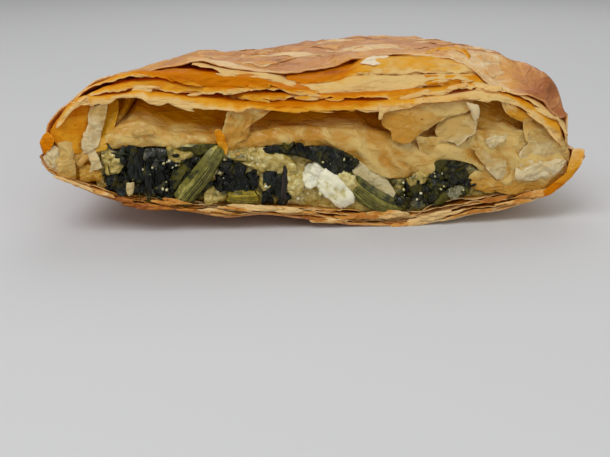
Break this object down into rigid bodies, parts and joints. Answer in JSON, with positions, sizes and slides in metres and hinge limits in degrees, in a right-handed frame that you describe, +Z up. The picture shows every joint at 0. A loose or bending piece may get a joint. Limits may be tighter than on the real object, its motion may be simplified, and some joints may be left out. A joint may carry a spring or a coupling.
{
  "type": "spinach bougatsa",
  "caption": "Rest of a baked phyllo parcel, open at the cut, with flaky plies over a spinach and cheese filling, resting flat.",
  "frame": {"origin": "centre of the flat patch that the crust rests on, in the middle of the parcel's underside", "axes": "+X along the cut towards the end whose bottom crust curls up, +Y away from the cut into the parcel, +Z up"},
  "size_m": [0.1414, 0.0921, 0.0451],
  "materials": {
    "baked_phyllo": "flaky, satin, golden brown",
    "soft_phyllo": "soft, moist, pale cream",
    "spinach": "cooked leaves, moist",
    "stalk": "cooked stalk, glossy",
    "pale_stalk": "cooked stalk, glossy",
    "feta": "crumbly, matt"
  },
  "bodies": {
    "root": {"pastry": "baked_phyllo", "inner_plies": "soft_phyllo", "filling": "spinach", "stem_left": "stalk", "stem_right": "stalk", "stem_stub": "pale_stalk", "feta_chunk": "feta"}
  },
  "joints": []
}
